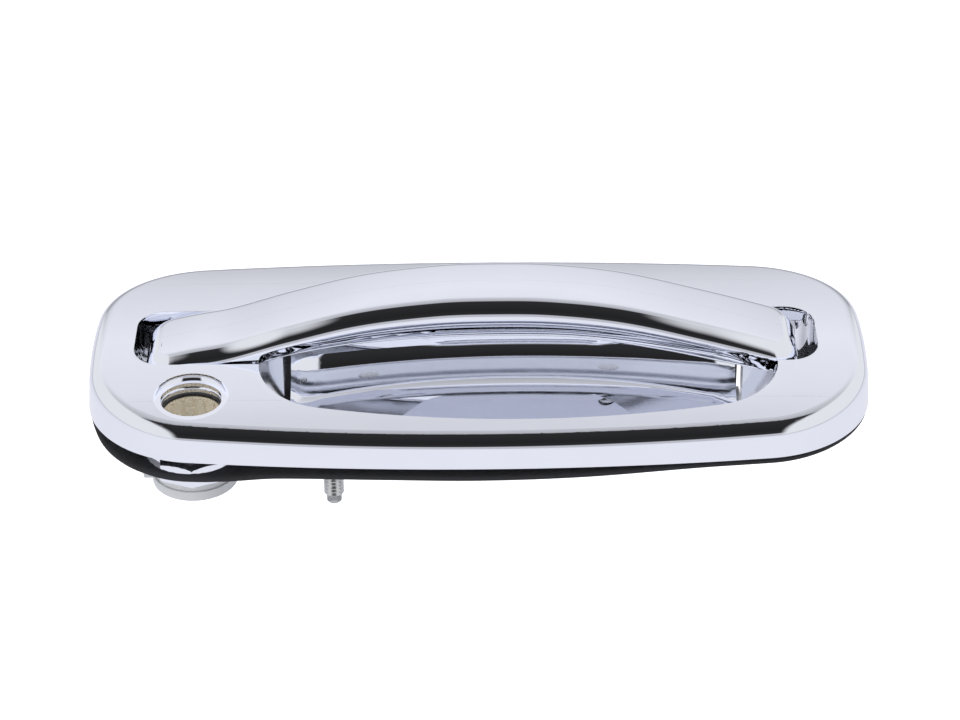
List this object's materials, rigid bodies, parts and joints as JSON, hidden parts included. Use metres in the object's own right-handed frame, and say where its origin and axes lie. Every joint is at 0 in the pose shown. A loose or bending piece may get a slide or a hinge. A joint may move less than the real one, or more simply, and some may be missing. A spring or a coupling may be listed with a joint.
{
  "type": "vehicle outside door handle",
  "caption": "Outside door handle: plated bezel with a finger recess, a hinged pull strap, a release crank behind it and a bore for a lock cylinder.",
  "frame": {"origin": "midway between the two mounting studs, in the plane of the bezel's back rim (the door skin side)", "axes": "+X along the handle from the hinge end to the pull end, +Y towards its upper edge, +Z outwards from the door"},
  "size_m": [0.238, 0.1068, 0.0683],
  "materials": {
    "bright_chrome": "polished, bright",
    "satin_chrome": "satin",
    "zinc_steel": "bright zinc plated",
    "spring_steel": "oiled spring steel",
    "nickel": "satin nickel",
    "black_foam": "closed-cell foam, matt",
    "black_rubber": "smooth rubber",
    "white_nylon": "natural nylon",
    "black_nylon": "glass-filled nylon",
    "cast_zinc": "as cast"
  },
  "bodies": {
    "mount_body": {"bezel": "bright_chrome", "pivot_pin": "zinc_steel", "pivot_pin_clip": "spring_steel", "crank_bracket": "zinc_steel", "bracket_screws": "zinc_steel", "crank_pin": "zinc_steel", "crank_pin_clip": "spring_steel", "mounting_stud_left": "zinc_steel", "mounting_stud_right": "zinc_steel", "lock_sleeve": "nickel", "lock_seal": "black_rubber", "lock_retainer": "white_nylon", "door_gasket": "black_foam", "strap_return_spring": "spring_steel", "crank_return_spring": "spring_steel", "slot_tray": "black_nylon", "leg_shield": "black_nylon"},
    "strap": {"handle_strap": "bright_chrome", "strap_inner": "satin_chrome", "strap_screws": "zinc_steel", "strap_pull_pin": "zinc_steel", "pivot_bushes": "white_nylon"},
    "crank": {"release_crank": "black_nylon", "counterweight": "cast_zinc", "rod_clip": "white_nylon"},
    "rotor": {"lock_rotor": "white_nylon", "lock_rod_clip": "white_nylon"}
  },
  "joints": [
    {"name": "strap_hinge", "type": "hinge", "parent": "mount_body", "child": "strap", "pos_m": [-0.097, 0, -0.004], "axis": [0, -1, 0], "range_deg": [0, 6.6], "deforming": ["strap_return_spring"]},
    {"name": "crank_hinge", "type": "hinge", "parent": "mount_body", "child": "crank", "pos_m": [0.087, 0.03, -0.004], "axis": [1, 0, 0], "range_deg": [-46.2, 0], "deforming": ["crank_return_spring"]},
    {"name": "rotor_turn", "type": "hinge", "parent": "mount_body", "child": "rotor", "pos_m": [-0.0858, -0.0316, -0.0135], "axis": [0, 0, 1], "range_deg": [-40, 40]}
  ],
  "couplings": [
    {"joint": "crank_hinge", "follows": "strap_hinge", "ratio": -7}
  ]
}
